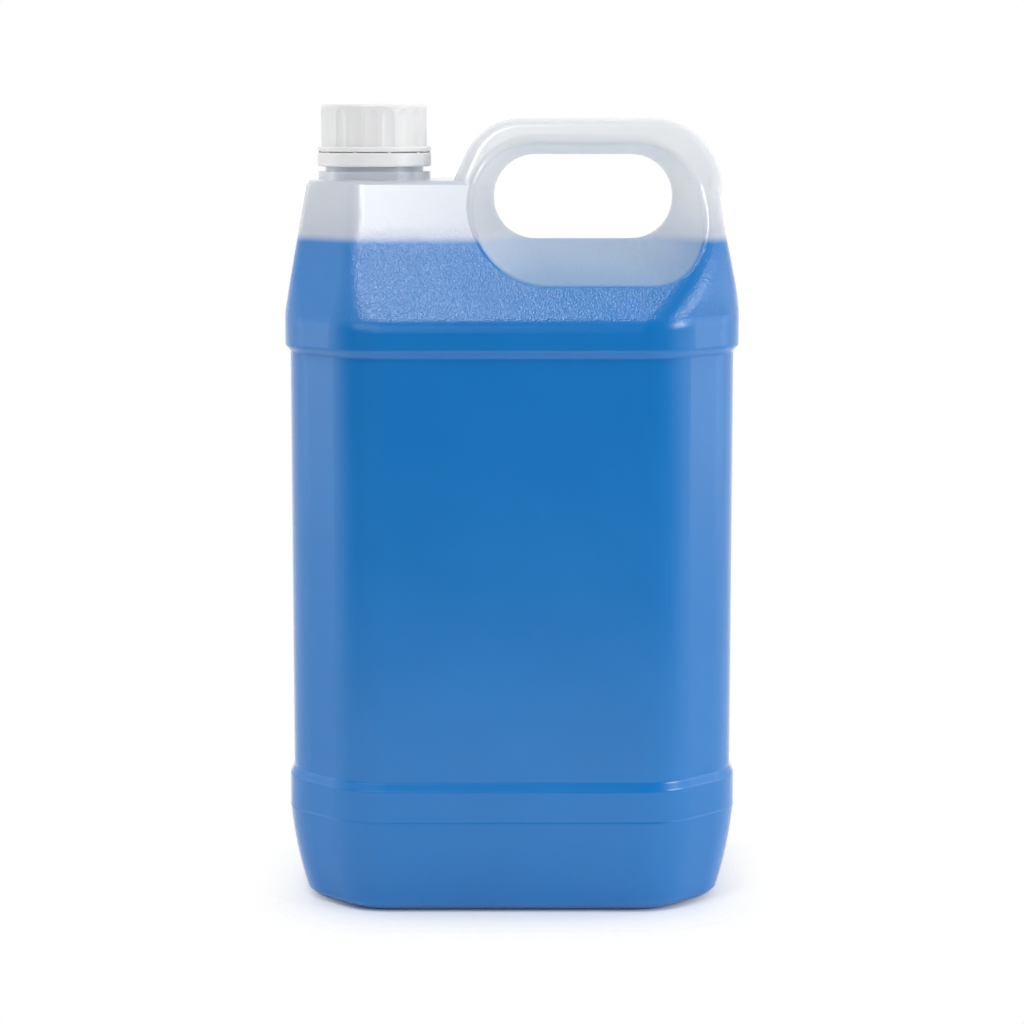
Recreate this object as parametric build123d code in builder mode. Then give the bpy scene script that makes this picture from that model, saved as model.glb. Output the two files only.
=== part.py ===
from build123d import *
import math
import os

os.makedirs("parts", exist_ok=True)

# Lengths are in millimetres and angles in degrees. X runs from the neck side to the handle side,
# Y from the front to the back, and Z is the height above the table.

# Jug: main sizes
half_width = 91.0
half_depth = 62.5
rim_height = 236.0
platform_height = 291.0
wall = 1.1

# Trunk: cut and rounded corners in plan, then how far each height lies inside the rim
corner_cut = 28.0
corner_radius = 30.0
foot_inset = 14.6
heel_inset = 7.3
heel_height = 3.6
heel_mid_inset = 3.3
heel_mid_height = 19.0
base_inset = 0.5
base_line = 38.0
base_top = 51.0
panel_inset = 2.1
panel_bottom = 54.0
panel_top = rim_height - 12.6
ledge_top = rim_height - 10.2
ledge_radius = 2.0

# Push-up under the base
pushup_inset = 23.0
pushup_height = 3.0
pushup_taper = 45.0
pushup_cut = 15.0
pushup_radius = 12.0

# Neck: sizes about its axis, then heights above the platform
neck_inset = 35.2
collar_radius = 22.7
stem_radius = 19.9
bead_radius = 20.65
thread_core_radius = 18.1
bore_radius = 16.3
collar_height = 3.2
bead_bottom_height = 6.7
bead_top_height = 9.0
neck_height = 26.8
neck_root = 7.0

# Shoulder: a rounded rim, then four outlines from there to just above the platform
platform_margin = 2.8
rim_radius = 10.0
rim_shares = (0, 1 / 3, 2 / 3, 1)
shoulder_shares = (0.255, 0.51)
shoulder_left_insets = (0.1, 1.9, 4.0, 8.4)
shoulder_right_insets = (0.1, 1.8, 4.8, 7.3)
shoulder_left_cuts = (27.8, 25.6, 23.4, 19.0)
shoulder_right_cuts = (27.0, 17.0, 8.5, 6.0)
shoulder_left_radii = (26.0, 14.0, 11.0, 9.0)
shoulder_right_radii = (27.0, 22.0, 13.0, 9.0)
platform_excess = 2.0
platform_edge_drops = (1.8, 0.5, 0.0)
platform_edge_insets = (-0.1, 0.6, 2.2)

# Handle: a loop seen from the front, with sides that lean in towards the top
handle_rise = 24.5
handle_root = 11.0
handle_clearance = 32.5
handle_right_inset = 7.0
handle_rise_width = 4.6
handle_rise_height = 10.0
handle_left_bend = 27.3
handle_right_bend = 27.3
handle_root_lean = 2.5
handle_proud = 0.1
handle_lean_share = 0.8
handle_edge_radius = 6.0

# Hand hole on the parting plane, opening into a finger pocket on each face
left_post = 16.0
right_post = 19.0
bar_height = 14.4
hole_height = 34.0
hole_radius = 16.6
hole_land = 4.0
pocket_side_flare = 17.6
pocket_post_flare = 19.7
pocket_bottom_flare = 18.6
pocket_top_flare = 17.9
pocket_left_radius = 40.0
pocket_right_radius = 28.5
pocket_top_radius = 29.0
pocket_margin = 2.5
crease_radius = 3.0
crease_margin = 0.05

# Screw cap, with heights above the platform
cap_bottom_height = 11.2
cap_top_thickness = 1.9
cap_radius = 21.45
cap_bore_radius = 19.45
cap_edge_radius = 1.2
flange_radius = 22.9
flange_height = 2.0
flange_edge_radius = 0.6
flute_count = 20
flute_depth = 0.45
flute_radius = 11.8
flute_margin = 5.0

# Sealing wad
wad_radius = 19.0
wad_thickness = 1.5

# Tamper ring, with the nibs that tie it to the cap
ring_radius = 23.0
ring_bore_radius = 21.1
ring_lip_radius = 20.2
ring_bottom_height = 5.3
ring_height = 5.5
ring_lip_height = 1.1
ring_edge_radius = 0.5
nib_count = 10
nib_width = 1.4
nib_depth = 1.0
nib_gap = 0.05

# Liquid
fill_rise = 32.5
liquid_gap = 0.2

# Cuts run past the faces that they open by this much
overrun = 5.0

# Places that follow from the sizes above
neck_x = neck_inset - half_width
neck_top = platform_height + neck_height
platform_half_depth = collar_radius + platform_margin
handle_top = platform_height + handle_rise
handle_foot = platform_height - handle_root
handle_left = neck_x + handle_clearance
handle_right = half_width - handle_right_inset
hole_left = handle_left + left_post
hole_right = handle_right - right_post
hole_top = handle_top - bar_height
hole_bottom = hole_top - hole_height
pocket_half_depth = half_depth - pocket_margin
cap_bottom = platform_height + cap_bottom_height
cap_roof = neck_top + wad_thickness
cap_top = cap_roof + cap_top_thickness
flange_top = cap_bottom + flange_height
ring_bottom = platform_height + ring_bottom_height
ring_top = ring_bottom + ring_height
fill_height = rim_height + fill_rise

# Slope of the shoulder's front and back, and how it moves the rim and the corners of an inner skin
shoulder_lean = math.atan2(half_depth - platform_half_depth, platform_height - rim_height)
rim_drop_share = math.tan(shoulder_lean / 2)
corner_share = 2 - math.sqrt(2)
pushup_share = math.tan(math.radians(pushup_taper) / 2)


def plan(height, left, right, depth, left_cut, right_cut, left_radius, right_radius):
    """Outline at one height: a rectangle with its corners cut off and rounded."""
    with BuildSketch(Plane.XY.offset(height)) as outline:
        with BuildLine():
            Polyline(
                (left + left_cut, -depth),
                (right - right_cut, -depth),
                (right, -depth + right_cut),
                (right, depth - right_cut),
                (right - right_cut, depth),
                (left + left_cut, depth),
                (left, depth - left_cut),
                (left, -depth + left_cut),
                close=True,
            )
        make_face()
        middle = (left + right) / 2
        fillet(outline.vertices().filter_by(lambda corner: corner.X < middle), left_radius)
        fillet(outline.vertices().filter_by(lambda corner: corner.X > middle), right_radius)
    return outline.sketch


def trunk_plan(height, inset):
    """Outline of the trunk at the rim, moved in by an inset."""
    cut = corner_cut - corner_share * inset
    radius = corner_radius - inset
    return plan(
        height, inset - half_width, half_width - inset, half_depth - inset, cut, cut, radius, radius
    )


def shoulder_plan(place, height, inset, edge_inset):
    """Outline of the shoulder with the corners of one place, at a height on its slope."""
    low = rim_height - rim_drop_share * inset
    moved = inset + edge_inset
    return plan(
        height,
        shoulder_left_insets[place] + moved - half_width,
        half_width - shoulder_right_insets[place] - moved,
        half_depth - moved - (height - low) * math.tan(shoulder_lean),
        shoulder_left_cuts[place] - corner_share * moved,
        shoulder_right_cuts[place] - corner_share * moved,
        shoulder_left_radii[place] - moved,
        shoulder_right_radii[place] - moved,
    )


def trunk(inset):
    """Trunk of one skin, with base, recessed panel and rim cut by one profile swept round it."""
    top = rim_height - rim_drop_share * rim_radius
    with BuildPart() as relief:
        with BuildSketch(Plane.XZ):
            with BuildLine():
                outer_side = Line(
                    (half_width + overrun, ledge_top + overrun), (half_width + overrun, -overrun)
                )
                under_side = Line(outer_side @ 1, (half_width - foot_inset, -overrun))
                foot = Line(under_side @ 1, (half_width - foot_inset, 0))
                heel = TangentArc(foot @ 1, (half_width - heel_inset, heel_height), tangent=(1, 0))
                flank = ThreePointArc(
                    heel @ 1,
                    (half_width - heel_mid_inset, heel_mid_height),
                    (half_width - base_inset, base_line),
                )
                side = FilletPolyline(
                    flank @ 1,
                    (half_width - base_inset, base_top),
                    (half_width - panel_inset, panel_bottom),
                    (half_width - panel_inset, panel_top),
                    (half_width, ledge_top),
                    (half_width, ledge_top + overrun),
                    radius=ledge_radius,
                )
                Line(side @ 1, outer_side @ 0)
            make_face()
            if inset:
                offset(amount=inset)
        with BuildLine() as half_round:
            FilletPolyline(
                (half_width, 0),
                (half_width, half_depth - corner_cut),
                (half_width - corner_cut, half_depth),
                (corner_cut - half_width, half_depth),
                (-half_width, half_depth - corner_cut),
                (-half_width, 0),
                radius=corner_radius,
            )
        sweep(path=half_round.wire())
        mirror(about=Plane.XZ)
    recess = pushup_inset - pushup_share * inset
    hollow = plan(
        inset,
        recess - half_width,
        half_width - recess,
        half_depth - recess,
        pushup_cut,
        pushup_cut,
        pushup_radius,
        pushup_radius,
    )
    with BuildPart() as body:
        extrude(trunk_plan(inset, inset), amount=top - inset)
        add(relief.part, mode=Mode.SUBTRACT)
        extrude(hollow, amount=pushup_height, taper=pushup_taper, mode=Mode.SUBTRACT)
    return body.part


def rim_plan(share, inset):
    """Outline on the rim's rounding, at a share of the turn from the trunk to the slope."""
    radius = rim_radius - inset
    turn = shoulder_lean * share
    left = shoulder_left_insets[0] * share + inset
    right = shoulder_right_insets[0] * share + inset
    left_cut = corner_cut + (shoulder_left_cuts[0] - corner_cut) * share
    right_cut = corner_cut + (shoulder_right_cuts[0] - corner_cut) * share
    left_radius = corner_radius + (shoulder_left_radii[0] - corner_radius) * share
    right_radius = corner_radius + (shoulder_right_radii[0] - corner_radius) * share
    return plan(
        rim_height - rim_drop_share * rim_radius + radius * math.sin(turn),
        left - half_width,
        half_width - right,
        half_depth - inset - radius * (1 - math.cos(turn)),
        left_cut - corner_share * inset,
        right_cut - corner_share * inset,
        left_radius - inset,
        right_radius - inset,
    )


def shoulder(inset):
    """Shoulder of one skin, with a rounded rim, running on above the platform."""
    low = rim_height - rim_drop_share * inset
    high = platform_height - inset
    rim = [rim_plan(share, inset) for share in rim_shares]
    flanks = rim[-1:]
    for place, share in enumerate(shoulder_shares, start=1):
        flanks.append(shoulder_plan(place, low + share * (high - low), inset, 0))
    flanks.append(shoulder_plan(-1, high + platform_excess, inset, 0))
    with BuildPart() as roof:
        loft(rim)
        loft(flanks)
    return roof.part


def platform_bound(inset):
    """Space that the shoulder is kept to, which gives the platform a rounded edge."""
    high = platform_height - inset
    edge = [
        shoulder_plan(-1, high - drop, inset, edge_inset)
        for drop, edge_inset in zip(platform_edge_drops, platform_edge_insets)
    ]
    with BuildPart() as bound:
        with BuildSketch():
            Rectangle(half_width * 2 + overrun, half_depth * 2 + overrun)
        extrude(amount=high - platform_edge_drops[0])
        loft(edge, ruled=True)
    return bound.part


def handle(inset):
    """Handle of one skin, before the hand hole is cut through it."""
    slope = math.tan(shoulder_lean * handle_lean_share)
    foot_half_depth = platform_half_depth + handle_proud + handle_root * slope
    top_half_depth = platform_half_depth + handle_proud - handle_rise * slope
    with BuildPart() as loop:
        with BuildSketch(Plane.YZ):
            with BuildLine():
                Polyline(
                    (-foot_half_depth, handle_foot),
                    (foot_half_depth, handle_foot),
                    (top_half_depth, handle_top),
                    (-top_half_depth, handle_top),
                    close=True,
                )
            make_face()
            if inset:
                offset(amount=-inset, kind=Kind.INTERSECTION)
        extrude(amount=half_width, both=True)
        with BuildSketch(Plane.XZ):
            with BuildLine():
                stand = Line((handle_left, handle_foot - overrun), (handle_left, platform_height))
                rise = Line(
                    stand @ 1,
                    (handle_left + handle_rise_width, platform_height + handle_rise_height),
                )
                left_bend = TangentArc(
                    rise @ 1, (handle_left + handle_left_bend, handle_top), tangent=rise % 1
                )
                crown = Line(left_bend @ 1, (handle_right - handle_right_bend, handle_top))
                right_bend = RadiusArc(
                    crown @ 1, (handle_right, handle_top - handle_right_bend), handle_right_bend
                )
                fall = Line(right_bend @ 1, (handle_right - handle_root_lean, handle_foot - overrun))
                Line(fall @ 1, stand @ 0)
            make_face()
            if inset:
                offset(amount=-inset, kind=Kind.INTERSECTION)
        extrude(amount=half_depth, both=True, mode=Mode.INTERSECT)
        across = loop.edges().filter_by(Axis.Y)
        level = loop.faces().sort_by(Axis.Z)[0].edges()
        fillet(loop.edges() - across - level, handle_edge_radius - inset)
    return loop.part


def hole_outline(distance, inset):
    """Hand hole as the parting plane shows it, grown by an inset."""
    with BuildSketch(Plane.XZ.offset(distance)) as outline:
        with BuildLine():
            Polyline(
                (hole_left - inset, hole_bottom - inset),
                (hole_right + inset, hole_bottom - inset),
                (hole_right + inset, hole_top + inset),
                (hole_left - inset, hole_top + inset),
                close=True,
            )
        make_face()
        fillet(outline.vertices(), hole_radius + inset)
    return outline.sketch


def pocket_outline(distance, inset):
    """Finger pocket where it opens at the front or the back, grown by an inset."""
    left = hole_left - pocket_side_flare - inset
    right = hole_right + pocket_post_flare + inset
    bottom = hole_bottom - pocket_bottom_flare - inset
    top = hole_top + pocket_top_flare + inset
    with BuildSketch(Plane.XZ.offset(distance)) as outline:
        with BuildLine():
            Polyline((left, bottom), (right, bottom), (right, top), (left, top), close=True)
        make_face()
        fillet(outline.vertices().group_by(Axis.Y)[0].sort_by(Axis.X)[0], pocket_left_radius + inset)
        fillet(outline.vertices().group_by(Axis.Y)[0].sort_by(Axis.X)[-1], pocket_right_radius + inset)
        fillet(outline.vertices().group_by(Axis.Y)[-1], pocket_top_radius + inset)
    return outline.sketch


def hand_hole(inset):
    """Hand hole with its finger pockets: straight on the parting plane, then widening."""
    with BuildPart() as opening:
        extrude(hole_outline(0, inset), amount=hole_land, both=True)
        for side in (-1, 1):
            near = hole_outline(side * hole_land / 2, inset)
            far = pocket_outline(side * pocket_half_depth, inset)
            loft([near, far], ruled=True)
    return opening.part


def rounded_pocket(body, foot):
    """A body of the outer skin with the hand hole cut through it and the new edges rounded."""
    with BuildPart() as work:
        add(body)
        crown = work.faces().sort_by(Axis.Z)[-1].center().Z
        add(hand_hole(0), mode=Mode.SUBTRACT)
        edges = work.edges(Select.NEW)
        edges = edges.filter_by(lambda edge: abs(edge.center().Y) > hole_land)
        edges = edges.filter_by(lambda edge: foot + crease_margin < edge.center().Z < crown - crease_margin)
        fillet(edges, crease_radius)
    return work.part


def outer_skin():
    """Form of the jug below its neck, with rounded edges round the finger pockets."""
    with BuildPart() as form:
        add(rounded_pocket(shoulder(0), 0))
        add(platform_bound(0), mode=Mode.INTERSECT)
        add(trunk(0))
        add(rounded_pocket(handle(0), handle_foot))
    return form.part


def inner_skin(inset):
    """Form of the jug below its neck, moved in by an inset. The wall thins at the pockets' edges."""
    with BuildPart() as form:
        add(shoulder(inset))
        add(platform_bound(inset), mode=Mode.INTERSECT)
        add(trunk(inset))
        add(handle(inset))
        add(hand_hole(inset), mode=Mode.SUBTRACT)
    return form.part


# Jug: outer skin and neck, hollowed by the inner skin and opened by the bore
with BuildPart() as jug:
    add(outer_skin())
    with BuildSketch(Plane.XZ):
        with BuildLine():
            Polyline(
                (neck_x, platform_height - neck_root),
                (neck_x + collar_radius, platform_height - neck_root),
                (neck_x + collar_radius, platform_height + collar_height),
                (neck_x + stem_radius, platform_height + collar_height),
                (neck_x + stem_radius, platform_height + bead_bottom_height),
                (neck_x + bead_radius, platform_height + bead_bottom_height),
                (neck_x + thread_core_radius, platform_height + bead_top_height),
                (neck_x + thread_core_radius, neck_top),
                (neck_x, neck_top),
                close=True,
            )
        make_face()
    revolve(axis=Axis((neck_x, 0, 0), (0, 0, 1)))
    add(inner_skin(wall), mode=Mode.SUBTRACT)
    with BuildSketch(Plane.XY.offset(neck_top)):
        with Locations((neck_x, 0)):
            Circle(bore_radius)
    extrude(amount=-neck_height - neck_root - overrun, mode=Mode.SUBTRACT)
jug.part.label = "jug"
export_step(jug.part, "parts/jug.step")

# Liquid: fills the cavity up to the fill line
with BuildPart() as liquid:
    add(inner_skin(wall + liquid_gap))
    with BuildSketch(Plane.XY.offset(fill_height)):
        Rectangle(half_width * 2, half_depth * 2)
    extrude(amount=handle_top, mode=Mode.SUBTRACT)
liquid.part.label = "liquid"
export_step(liquid.part, "parts/liquid.step")

# Screw cap: turned shell with flutes scooped out of the grip, and a flange below them
with BuildPart() as flute:
    with BuildSketch(Plane.XZ):
        with BuildLine():
            side = Line((flute_radius, flange_top), (flute_radius, cap_top - flute_margin))
            high_end = CenterArc((0, cap_top - flute_margin), flute_radius, 0, 90)
            Polyline(high_end @ 1, (0, flange_top), side @ 0)
        make_face()
    revolve(axis=Axis.Z)

with BuildPart() as screw_cap:
    with BuildSketch(Plane.XZ):
        with BuildLine():
            Polyline(
                (neck_x, cap_top),
                (neck_x + cap_radius, cap_top),
                (neck_x + cap_radius, cap_bottom),
                (neck_x + cap_bore_radius, cap_bottom),
                (neck_x + cap_bore_radius, cap_roof),
                (neck_x, cap_roof),
                close=True,
            )
        make_face()
    revolve(axis=Axis((neck_x, 0, 0), (0, 0, 1)))
    fillet(screw_cap.edges().group_by(Axis.Z)[-1], cap_edge_radius)
    with Locations((neck_x, 0)):
        with PolarLocations(cap_radius + flute_radius - flute_depth, flute_count):
            add(flute.part, mode=Mode.SUBTRACT)
    with BuildSketch(Plane.XZ) as flange:
        with BuildLine():
            Polyline(
                (neck_x + cap_bore_radius, cap_bottom),
                (neck_x + flange_radius, cap_bottom),
                (neck_x + flange_radius, flange_top),
                (neck_x + cap_bore_radius, flange_top),
                close=True,
            )
        make_face()
        fillet(flange.vertices().group_by(Axis.X)[-1], flange_edge_radius)
    revolve(axis=Axis((neck_x, 0, 0), (0, 0, 1)))
screw_cap.part.label = "screw_cap"
export_step(screw_cap.part, "parts/screw_cap.step")

# Sealing wad: lies on the neck, under the cap's top
with BuildPart() as sealing_wad:
    with BuildSketch(Plane.XY.offset(neck_top)):
        with Locations((neck_x, 0)):
            Circle(wad_radius)
    extrude(amount=wad_thickness)
sealing_wad.part.label = "sealing_wad"
export_step(sealing_wad.part, "parts/sealing_wad.step")

# Tamper ring: hangs below the cap, with a lip under the neck's bead
with BuildPart() as tamper_ring:
    with BuildSketch(Plane.XZ) as section:
        with BuildLine():
            Polyline(
                (neck_x + ring_lip_radius, ring_bottom),
                (neck_x + ring_radius, ring_bottom),
                (neck_x + ring_radius, ring_top),
                (neck_x + ring_bore_radius, ring_top),
                (neck_x + ring_bore_radius, ring_bottom + ring_lip_height),
                (neck_x + ring_lip_radius, ring_bottom + ring_lip_height),
                close=True,
            )
        make_face()
        chamfer(section.vertices().group_by(Axis.X)[-1], ring_edge_radius)
    revolve(axis=Axis((neck_x, 0, 0), (0, 0, 1)))
    with BuildSketch(Plane.XY.offset(ring_top)):
        with Locations((neck_x, 0)):
            with PolarLocations((ring_radius + ring_bore_radius) / 2, nib_count):
                Rectangle(nib_depth, nib_width)
    extrude(amount=cap_bottom - ring_top - nib_gap)
tamper_ring.part.label = "tamper_ring"
export_step(tamper_ring.part, "parts/tamper_ring.step")
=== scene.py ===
import math

import bmesh
import bpy
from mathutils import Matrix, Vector


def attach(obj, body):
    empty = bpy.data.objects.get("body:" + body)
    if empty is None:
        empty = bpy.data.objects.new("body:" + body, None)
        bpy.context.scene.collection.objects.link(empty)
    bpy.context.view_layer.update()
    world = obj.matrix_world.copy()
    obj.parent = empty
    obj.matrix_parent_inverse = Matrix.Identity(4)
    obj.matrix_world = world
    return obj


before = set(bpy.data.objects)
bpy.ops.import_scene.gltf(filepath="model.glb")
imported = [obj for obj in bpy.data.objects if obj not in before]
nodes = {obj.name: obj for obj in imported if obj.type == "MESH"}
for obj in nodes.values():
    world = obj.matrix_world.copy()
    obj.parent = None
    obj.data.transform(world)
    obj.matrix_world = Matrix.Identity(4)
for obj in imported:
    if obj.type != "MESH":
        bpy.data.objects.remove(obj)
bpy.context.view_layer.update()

# Places on the jug, in metres
RIM = 0.2360
PLATFORM = 0.2910
FILL = 0.2685
BASE_LINE = 0.0380
NECK_X = -0.0558
HOLE_LEFT = 0.0093
HOLE_RIGHT = 0.0484
HOLE_MIDDLE = 0.2841

# Screw threads, in metres
THREAD_PITCH = 0.00423
THREAD_START = 0.3032
THREAD_FOOT = 0.0011
THREAD_LAND = 0.0004
THREAD_SUNK = 0.0002
THREAD_STEPS = 72
THREAD_RUN_OUT = 6
NECK_TURNS = 3.0
NECK_CORE = 0.0181
NECK_CREST = 0.01905
CAP_TURNS = 2.5
CAP_BORE = 0.01945
CAP_CREST = 0.0185

# Mould lines, in metres
WELD = 0.000002
SPACING = 0.0012
LINE_FOOT = 0.0045
NECK_CLEARANCE = 0.031
PLATFORM_CLEARANCE = 0.001
PARTING_HALF_WIDTH = 0.0005
PARTING_HEIGHT = 0.0001
FOOT_HALF_WIDTH = 0.0006
FOOT_HEIGHT = 0.00012

# Colours
WET_DARK = (0.005, 0.225, 0.64, 1.0)
WET_LIGHT = (0.007, 0.25, 0.70, 1.0)
# Pockets: a pale blue, partly the thin liquid behind and partly a painted highlight, lighter at
# the top as painted light
POCKET_LOW_SHADED = (0.19, 0.38, 0.66, 1.0)
POCKET_HIGH_LIT = (0.40, 0.56, 0.78, 1.0)
# Pocket sides: painted shade on the right, painted highlight on the left
POCKET_RIGHT_SHADE = (0.16, 0.36, 0.66, 1.0)
POCKET_LEFT_HIGHLIGHT = (0.48, 0.60, 0.78, 1.0)
# Dry wall: whiter up the handle, partly its own tone and partly a painted glow of light through
# the handle
DRY_LOW = (0.865, 0.868, 0.868, 1.0)
DRY_HIGH_GLOW = (0.965, 0.967, 0.965, 1.0)
CLEAR_WALL = (0.97, 0.98, 0.99, 1.0)
LIQUID_DARK = (0.009, 0.215, 0.63, 1.0)
LIQUID_LIGHT = (0.011, 0.235, 0.69, 1.0)
# Painted light: the liquid is paler towards its top
LIQUID_TOP_LIT = (0.03, 0.26, 0.70, 1.0)
CAP_WHITE = (0.82, 0.82, 0.822)
WAD_WHITE = (0.80, 0.80, 0.78)
FLOOR_DARK = (0.94, 0.94, 0.94, 1.0)
FLOOR_LIGHT = (0.96, 0.96, 0.96, 1.0)
WORLD_FRONT = (0.02, 0.021, 0.022, 1.0)
WORLD_BACK = (0.98, 0.985, 0.99, 1.0)
WHITE = (1.0, 1.0, 1.0, 1.0)

# Where the jug's looks change, as the start and end of a smooth step, in metres
FILL_EDGE = (FILL - 0.0022, FILL + 0.0018)
THROUGH_EDGE = (FILL - 0.002, FILL + 0.002)
MILK_EDGE = (FILL - 0.002, FILL + 0.004)
GRAIN_START = (RIM - 0.001, RIM + 0.003)
GRAIN_END = (0.264, 0.276)
# Pockets paler upwards: painted light
POCKET_LIGHT_RISE = (0.247, 0.267)
# Painted shade towards the pockets' right, painted highlight towards their left
POCKET_RIGHT_EDGE = (0.058, 0.082)
POCKET_LEFT_EDGE = (0.006, -0.020)
# Whiter up the handle: partly a painted glow
DRY_GLOW_RISE = (0.270, 0.300)
# Liquid paler towards its top: painted light
LIQUID_PAINTED_LIGHT_RISE = (0.245, FILL)

# Finish of the jug's wall
POCKET_FACING = (0.66, 0.84)
GRAIN_SCALE = 1550.0
GRAIN_DEPTH = 0.0004
GRAIN_STRENGTH = 0.48
GRAIN_DRY = 0.15
SATIN_STRENGTH = 0.015
WALL_ROUGHNESS = 0.22
WALL_IOR = 1.54
MILK_WET = 0.82
MILK_DRY = 0.70
THROUGH_WET = 0.18
THROUGH_DRY = 0.56

# Floor: its size, half the box round which the camera sees it, and where it fades, in metres
FLOOR_SIZE = 2.4
FLOOR_BOX = (("X", 0.052), ("Y", 0.042))
FLOOR_FADE = (0.90, 1.20)
FLOOR_CAMERA_FADE = (0.010, 0.058)
FLOOR_MIRROR_FADE = (0.33, 0.85)

# World: the Y of the directions between which its front turns into its back
WORLD_TURN = (-0.65, 0.1)

# Softboxes: name, place, aimed height, width and height in metres, power in watts
SOFTBOXES = (
    ("front_top", (-0.28, -0.82, 1.80), 0.20, 0.36, 0.36, 10.8),
    ("left_corner", (-0.72, -0.84, 1.58), 0.20, 0.40, 0.40, 1.4),
    ("front_fill", (-1.0, -2.1, 1.05), 0.15, 2.0, 1.2, 11.8),
    ("right_corner", (1.44, -0.78, 0.63), 0.20, 0.60, 0.60, 11.0),
    ("right_strip", (1.3, 0.15, 0.30), 0.20, 0.5, 0.6, 1.2),
    ("left_strip", (-1.3, 0.10, 0.30), 0.20, 0.5, 0.6, 0.8),
)

# Camera
CAMERA_PLACE = (0.0, -1.225, 0.322788)
CAMERA_DOWN_DEG = 7.82
SENSOR_MM = 36.0
FOCAL_PX = 3000.0
PICTURE_PX = 1024.0


# Node helpers

def tree_of(name):
    material = bpy.data.materials.new(name)
    material.use_nodes = True
    tree = material.node_tree
    tree.nodes.clear()
    return material, tree


def node(tree, kind, **values):
    """A new node; each value sets an input of that name, or else a property."""
    made = tree.nodes.new(kind)
    for key, value in values.items():
        if key in made.inputs:
            made.inputs[key].default_value = value
        else:
            setattr(made, key, value)
    return made


def link(tree, out, into):
    tree.links.new(out, into)


def place_of(tree):
    """A point's place in the row frame, in metres, whole and as X, Y and Z."""
    place = node(tree, "ShaderNodeNewGeometry")
    parts = node(tree, "ShaderNodeSeparateXYZ")
    link(tree, place.outputs["Position"], parts.inputs[0])
    return place.outputs["Position"], parts.outputs


def step(tree, value, low, high, start=0.0, end=1.0):
    """A smooth step of a value from start at low to end at high."""
    made = node(tree, "ShaderNodeMapRange", interpolation_type="SMOOTHSTEP")
    made.inputs["From Min"].default_value = low
    made.inputs["From Max"].default_value = high
    made.inputs["To Min"].default_value = start
    made.inputs["To Max"].default_value = end
    link(tree, value, made.inputs["Value"])
    return made.outputs["Result"]


def maths(tree, operation, a, b):
    made = node(tree, "ShaderNodeMath", operation=operation)
    for into, value in zip(made.inputs, (a, b)):
        if isinstance(value, (int, float)):
            into.default_value = value
        else:
            link(tree, value, into)
    return made.outputs[0]


def scaled(tree, value, factor, offset):
    """A value times a factor, plus an offset."""
    return maths(tree, "ADD", maths(tree, "MULTIPLY", value, factor), offset)


def noise(tree, place, scale, detail=2.0):
    made = node(tree, "ShaderNodeTexNoise", Scale=scale, Detail=detail, Roughness=0.5)
    link(tree, place, made.inputs["Vector"])
    return made.outputs["Fac"]


def blend_colours(tree, share, first, second):
    made = node(tree, "ShaderNodeMix", data_type="RGBA")
    a, b = made.inputs[6], made.inputs[7]
    for into, value in ((a, first), (b, second)):
        if isinstance(value, tuple):
            into.default_value = value
        else:
            link(tree, value, into)
    link(tree, share, made.inputs[0])
    return made.outputs[2]


def blend_shaders(tree, share, first, second):
    made = node(tree, "ShaderNodeMixShader")
    for into, value in zip(made.inputs, (share, first, second)):
        link(tree, value, into)
    return made.outputs[0]


# Materials

def pocket_share(tree, xyz):
    """1 inside the finger pockets, where the wall faces the hand hole's middle line, else 0. There
    the pockets' pale colour goes, partly a painted highlight.
    """
    middle = maths(tree, "MINIMUM", maths(tree, "MAXIMUM", xyz["X"], HOLE_LEFT), HOLE_RIGHT)
    aim = node(tree, "ShaderNodeCombineXYZ")
    link(tree, maths(tree, "SUBTRACT", middle, xyz["X"]), aim.inputs["X"])
    link(tree, maths(tree, "SUBTRACT", HOLE_MIDDLE, xyz["Z"]), aim.inputs["Z"])
    towards = node(tree, "ShaderNodeVectorMath", operation="NORMALIZE")
    link(tree, aim.outputs[0], towards.inputs[0])
    facing = node(tree, "ShaderNodeVectorMath", operation="DOT_PRODUCT")
    link(tree, towards.outputs[0], facing.inputs[0])
    link(tree, node(tree, "ShaderNodeNewGeometry").outputs["Normal"], facing.inputs[1])
    return step(tree, facing.outputs["Value"], *POCKET_FACING)


def wall_colour(tree, xyz, cloud):
    """The liquid's blue where the wall is wet. In the pockets it is a paler blue, partly the thin
    liquid behind and partly a painted highlight, with painted shade to the right. It is milky
    above the fill line, with a painted glow up the handle.
    """
    blue = blend_colours(tree, cloud, WET_DARK, WET_LIGHT)
    # Pockets: pale blue, partly the thin liquid behind and partly a painted highlight, paler
    # upwards as painted light
    pale = blend_colours(tree, step(tree, xyz["Z"], *POCKET_LIGHT_RISE), POCKET_LOW_SHADED, POCKET_HIGH_LIT)
    # Painted shade towards the right of the pockets, painted highlight towards the left
    pale = blend_colours(tree, step(tree, xyz["X"], *POCKET_RIGHT_EDGE), pale, POCKET_RIGHT_SHADE)
    pale = blend_colours(tree, step(tree, xyz["X"], *POCKET_LEFT_EDGE), pale, POCKET_LEFT_HIGHLIGHT)
    wet = blend_colours(tree, pocket_share(tree, xyz), blue, pale)
    # Whiter up the handle, partly its own tone and partly a painted glow of light through it;
    # random tone from the cloud
    height = step(tree, xyz["Z"], *DRY_GLOW_RISE, 0.0, 0.7)
    tone_and_glow = maths(tree, "ADD", height, maths(tree, "MULTIPLY", cloud, 0.3))
    dry = blend_colours(tree, tone_and_glow, DRY_LOW, DRY_HIGH_GLOW)
    return blend_colours(tree, step(tree, xyz["Z"], *FILL_EDGE), wet, dry)


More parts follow.
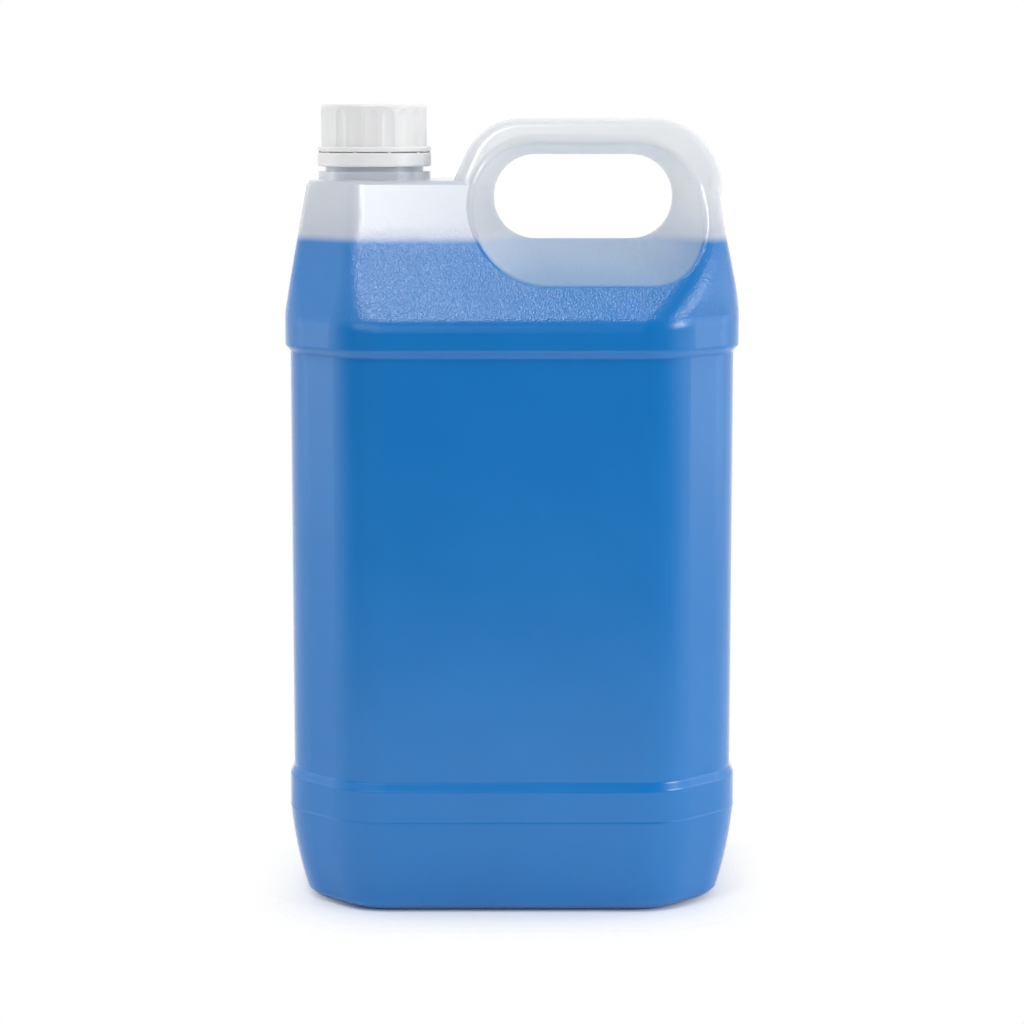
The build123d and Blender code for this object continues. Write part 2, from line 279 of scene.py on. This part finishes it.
def jug_material():
    material, tree = tree_of("natural_polyethylene")
    out = node(tree, "ShaderNodeOutputMaterial")
    place, xyz = place_of(tree)
    cloud = noise(tree, place, 22.0)

    # Fine moulded grain on the wet shoulder, satin elsewhere
    grain_low = step(tree, xyz["Z"], *GRAIN_START)
    grain_high = step(tree, xyz["Z"], *GRAIN_END, 1.0, GRAIN_DRY)
    grain = maths(tree, "MULTIPLY", grain_low, grain_high)
    bump = node(tree, "ShaderNodeBump", Distance=GRAIN_DEPTH)
    link(tree, scaled(tree, grain, GRAIN_STRENGTH, SATIN_STRENGTH), bump.inputs["Strength"])
    link(tree, noise(tree, place, GRAIN_SCALE, 1.0), bump.inputs["Height"])

    # The wall: part of the light passes straight, part is scattered through it or back
    tint = wall_colour(tree, xyz, cloud)
    flat = node(tree, "ShaderNodeBsdfDiffuse")
    through = node(tree, "ShaderNodeBsdfTranslucent")
    for shader in (flat, through):
        link(tree, tint, shader.inputs["Color"])
        link(tree, bump.outputs[0], shader.inputs["Normal"])
    share = step(tree, xyz["Z"], *THROUGH_EDGE, THROUGH_WET, THROUGH_DRY)
    body = blend_shaders(tree, share, flat.outputs[0], through.outputs[0])
    clear = node(tree, "ShaderNodeBsdfTransparent", Color=CLEAR_WALL)
    milk = maths(tree, "ADD", step(tree, xyz["Z"], *MILK_EDGE, MILK_WET, MILK_DRY),
                 maths(tree, "MULTIPLY", cloud, 0.04))
    wall = blend_shaders(tree, milk, clear.outputs[0], body)

    # A satin gloss on the outer faces
    gloss = node(tree, "ShaderNodeBsdfGlossy", Color=WHITE)
    link(tree, scaled(tree, cloud, 0.06, WALL_ROUGHNESS), gloss.inputs["Roughness"])
    link(tree, bump.outputs[0], gloss.inputs["Normal"])
    edge = node(tree, "ShaderNodeFresnel", IOR=WALL_IOR)
    link(tree, bump.outputs[0], edge.inputs["Normal"])
    side = node(tree, "ShaderNodeNewGeometry")
    outside = maths(tree, "SUBTRACT", 1.0, side.outputs["Backfacing"])
    shine = maths(tree, "MULTIPLY", edge.outputs[0], outside)
    link(tree, blend_shaders(tree, shine, wall, gloss.outputs[0]), out.inputs["Surface"])
    return material


def liquid_material():
    material, tree = tree_of("blue_disinfectant")
    out = node(tree, "ShaderNodeOutputMaterial")
    shader = node(tree, "ShaderNodeBsdfPrincipled", Roughness=0.5, IOR=1.33)
    shader.inputs["Specular IOR Level"].default_value = 0.0
    link(tree, shader.outputs[0], out.inputs["Surface"])
    place, xyz = place_of(tree)
    deep = blend_colours(tree, noise(tree, place, 14.0), LIQUID_DARK, LIQUID_LIGHT)
    # Painted light: paler towards the top of the liquid
    painted_top_light = step(tree, xyz["Z"], *LIQUID_PAINTED_LIGHT_RISE)
    link(tree, blend_colours(tree, painted_top_light, deep, LIQUID_TOP_LIT), shader.inputs["Base Color"])
    return material


def white_plastic(name, colour, roughness, grain):
    material, tree = tree_of(name)
    out = node(tree, "ShaderNodeOutputMaterial")
    shader = node(tree, "ShaderNodeBsdfPrincipled", IOR=1.5)
    shader.inputs["Subsurface Weight"].default_value = 0.15
    shader.inputs["Subsurface Scale"].default_value = 0.002
    link(tree, shader.outputs[0], out.inputs["Surface"])
    place = place_of(tree)[0]
    cloud = noise(tree, place, 90.0, 3.0)
    low = tuple(0.96 * c for c in colour) + (1.0,)
    link(tree, blend_colours(tree, cloud, low, colour + (1.0,)), shader.inputs["Base Color"])
    link(tree, scaled(tree, cloud, 0.1, roughness), shader.inputs["Roughness"])
    bump = node(tree, "ShaderNodeBump", Strength=grain, Distance=0.0003)
    link(tree, noise(tree, place, 1600.0), bump.inputs["Height"])
    link(tree, bump.outputs[0], shader.inputs["Normal"])
    return material


def floor_material():
    """A pale floor that the camera sees only near the jug, where its shadow is."""
    material, tree = tree_of("pale_floor")
    out = node(tree, "ShaderNodeOutputMaterial")
    shader = node(tree, "ShaderNodeBsdfDiffuse")
    place, xyz = place_of(tree)
    cloud = noise(tree, place, 3.0)
    link(tree, blend_colours(tree, cloud, FLOOR_DARK, FLOOR_LIGHT), shader.inputs["Color"])
    clear = node(tree, "ShaderNodeBsdfTransparent")
    distance = node(tree, "ShaderNodeVectorMath", operation="LENGTH")
    link(tree, place, distance.inputs[0])
    outside = node(tree, "ShaderNodeCombineXYZ")
    for axis, half in FLOOR_BOX:
        past = maths(tree, "SUBTRACT", maths(tree, "ABSOLUTE", xyz[axis], 0.0), half)
        link(tree, maths(tree, "MAXIMUM", past, 0.0), outside.inputs[axis])
    gone = node(tree, "ShaderNodeVectorMath", operation="LENGTH")
    link(tree, outside.outputs[0], gone.inputs[0])

    # How far the floor has faded out: for light in general, for the camera, for mirrored light
    fade = step(tree, distance.outputs["Value"], *FLOOR_FADE)
    beside = step(tree, gone.outputs["Value"], *FLOOR_CAMERA_FADE)
    ahead = step(tree, distance.outputs["Value"], *FLOOR_MIRROR_FADE)
    path = node(tree, "ShaderNodeLightPath")
    for near, ray in ((beside, "Is Camera Ray"), (ahead, "Is Glossy Ray")):
        gap = maths(tree, "MULTIPLY", maths(tree, "SUBTRACT", near, fade), path.outputs[ray])
        fade = maths(tree, "ADD", fade, gap)
    mixed = blend_shaders(tree, fade, shader.outputs[0], clear.outputs[0])
    link(tree, mixed, out.inputs["Surface"])
    return material


def dress(obj, material):
    obj.data.materials.clear()
    obj.data.materials.append(material)


jug_skin = jug_material()
cap_skin = white_plastic("white_cap", CAP_WHITE, 0.30, 0.12)
dress(nodes["jug"], jug_skin)
dress(nodes["liquid"], liquid_material())
dress(nodes["screw_cap"], cap_skin)
dress(nodes["tamper_ring"], cap_skin)
dress(nodes["sealing_wad"], white_plastic("foam_wad", WAD_WHITE, 0.6, 0.3))


def solid(name, corners, faces):
    """A mesh object, with its faces turned outwards."""
    mesh = bpy.data.meshes.new(name)
    mesh.from_pydata(corners, [], faces)
    shaped = bmesh.new()
    shaped.from_mesh(mesh)
    bmesh.ops.recalc_face_normals(shaped, faces=shaped.faces)
    shaped.to_mesh(mesh)
    shaped.free()
    made = bpy.data.objects.new(name, mesh)
    bpy.context.scene.collection.objects.link(made)
    return made


# Screw threads on the neck and inside the cap

def thread(name, root, crest, start, turns):
    """A ridge that climbs round the neck's axis, from a root radius to a crest radius."""
    steps = int(turns * THREAD_STEPS)
    rings, faces = [], []
    for i in range(steps + 1):
        share = i / steps
        turn = 2 * math.pi * turns * share
        fade = min(1.0, share * turns * THREAD_RUN_OUT, (1 - share) * turns * THREAD_RUN_OUT)
        top = root + (crest - root) * fade
        middle = start + THREAD_PITCH * turns * share
        for radius, height in ((root, -THREAD_FOOT), (top, -THREAD_LAND),
                               (top, THREAD_LAND), (root, THREAD_FOOT)):
            x = NECK_X + radius * math.cos(turn)
            rings.append((x, radius * math.sin(turn), middle + height))
    for i in range(steps):
        for j in range(4):
            a, b = 4 * i + j, 4 * i + (j + 1) % 4
            faces.append((a, b, b + 4, a + 4))
    faces.append((3, 2, 1, 0))
    faces.append(tuple(4 * steps + j for j in range(4)))
    return solid(name, rings, faces)


neck_thread = thread("neck_thread", NECK_CORE - THREAD_SUNK, NECK_CREST, THREAD_START, NECK_TURNS)
dress(neck_thread, jug_skin)
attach(neck_thread, "jug_body")
cap_thread = thread("cap_thread", CAP_BORE + THREAD_SUNK, CAP_CREST,
                    THREAD_START + THREAD_PITCH / 2, CAP_TURNS)
dress(cap_thread, cap_skin)
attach(cap_thread, "cap_body")


# Mould lines: the parting line up the jug's sides and over its handle, and one round its foot

def outline(obj, point, normal, keep):
    """The outermost lines in which a plane cuts an object.

    Each is its points in order, and whether it closes. Points that keep() refuses are left out.
    """
    work = bmesh.new()
    work.from_mesh(obj.data)
    work.transform(obj.matrix_world)
    bmesh.ops.remove_doubles(work, verts=work.verts, dist=WELD)
    bmesh.ops.bisect_plane(work, geom=work.verts[:] + work.edges[:] + work.faces[:],
                           plane_co=point, plane_no=normal, clear_inner=True, clear_outer=True)
    bmesh.ops.remove_doubles(work, verts=work.verts, dist=WELD)
    ends = {}
    for edge in work.edges:
        a, b = edge.verts
        if keep(a.co) and keep(b.co):
            ends.setdefault(a.index, []).append(b.index)
            ends.setdefault(b.index, []).append(a.index)
    places = {v.index: v.co.copy() for v in work.verts}
    work.free()
    lines, seen = [], set()
    for start in sorted(ends, key=lambda i: len(ends[i])):
        line = []
        at = start
        while at is not None and at not in seen:
            seen.add(at)
            line.append(at)
            at = next((i for i in ends[at] if i not in seen), None)
        if len(line) > 2:
            lines.append(line)
    left = min(lines, key=lambda line: min(places[i].x for i in line))
    right = max(lines, key=lambda line: max(places[i].x for i in line))
    found = []
    for line in [left] if left is right else [left, right]:
        points = [places[line[0]]]
        for i in line[1:]:
            if (places[i] - points[-1]).length > SPACING:
                points.append(places[i])
        found.append((points, line[0] in ends[line[-1]]))
    return found


def ridge(name, lines, normal, half_width, height):
    """Low ridges along lines of points that lie in one plane."""
    axis = Vector(normal)
    across = axis * half_width
    corners, faces = [], []
    for points, closed in lines:
        first = len(corners)
        count = len(points)
        for i, point in enumerate(points):
            before = points[i - 1] if closed or i else point
            after = points[(i + 1) % count] if closed or i + 1 < count else point
            up = (after - before).normalized().cross(axis) * height
            corners += [point - across, point + up, point + across, point - up]
        for i in range(count if closed else count - 1):
            near, far = first + 4 * i, first + 4 * ((i + 1) % count)
            for j in range(4):
                k = (j + 1) % 4
                faces.append((near + j, near + k, far + k, far + j))
        if not closed:
            faces.append(tuple(first + j for j in (3, 2, 1, 0)))
            faces.append(tuple(first + 4 * (count - 1) + j for j in range(4)))
    made = solid(name, corners, faces)
    dress(made, jug_skin)
    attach(made, "jug_body")


def on_the_sides(place):
    """Off the base and clear of the neck."""
    below = place.z < PLATFORM - PLATFORM_CLEARANCE
    return place.z > LINE_FOOT and (below or place.x > NECK_X + NECK_CLEARANCE)


def anywhere(place):
    return True


for name, point, normal, keep, half_width, height in (
        ("parting_line", (0, 0, 0), (0, 1, 0), on_the_sides, PARTING_HALF_WIDTH, PARTING_HEIGHT),
        ("foot_line", (0, 0, BASE_LINE), (0, 0, 1), anywhere, FOOT_HALF_WIDTH, FOOT_HEIGHT)):
    ridge(name, outline(nodes["jug"], point, normal, keep), normal, half_width, height)


# Floor, light and camera

bpy.ops.mesh.primitive_plane_add(size=FLOOR_SIZE, location=(0, 0, 0))
floor = bpy.context.object
floor.name = "floor"
floor.data.materials.append(floor_material())


def softbox(name, place, aimed_height, width, height, power):
    data = bpy.data.lights.new(name, "AREA")
    data.shape = "RECTANGLE"
    data.size, data.size_y, data.energy = width, height, power
    made = bpy.data.objects.new(name, data)
    made.location = place
    aim = Vector((0, 0, aimed_height)) - Vector(place)
    made.rotation_euler = aim.to_track_quat("-Z", "Y").to_euler()
    bpy.context.scene.collection.objects.link(made)


for values in SOFTBOXES:
    softbox(*values)

# The world is white to the camera, and to mirrored and transmitted light from behind the jug
world = bpy.data.worlds.new("studio")
bpy.context.scene.world = world
world.use_nodes = True
air = world.node_tree
air.nodes.clear()
sky = node(air, "ShaderNodeOutputWorld")
direction = node(air, "ShaderNodeTexCoord")
parts = node(air, "ShaderNodeSeparateXYZ")
link(air, direction.outputs["Generated"], parts.inputs[0])
behind = step(air, parts.outputs["Y"], *WORLD_TURN)
dim = node(air, "ShaderNodeBackground", Strength=1.0)
link(air, blend_colours(air, behind, WORLD_FRONT, WORLD_BACK), dim.inputs["Color"])
white = node(air, "ShaderNodeBackground", Color=WHITE, Strength=1.0)
ray = node(air, "ShaderNodeLightPath")
mirrored = maths(air, "MAXIMUM", ray.outputs["Is Glossy Ray"], ray.outputs["Is Transmission Ray"])
mirrored = maths(air, "MULTIPLY", mirrored, behind)
seen = maths(air, "MAXIMUM", ray.outputs["Is Camera Ray"], mirrored)
link(air, blend_shaders(air, seen, dim.outputs[0], white.outputs[0]), sky.inputs["Surface"])

camera_data = bpy.data.cameras.new("camera")
camera_data.sensor_width = SENSOR_MM
camera_data.lens = SENSOR_MM * FOCAL_PX / PICTURE_PX
camera = bpy.data.objects.new("camera", camera_data)
camera.location = CAMERA_PLACE
camera.rotation_euler = (math.radians(90.0 - CAMERA_DOWN_DEG), 0.0, 0.0)
bpy.context.scene.collection.objects.link(camera)
bpy.context.scene.camera = camera
bpy.context.scene.view_settings.view_transform = "Standard"
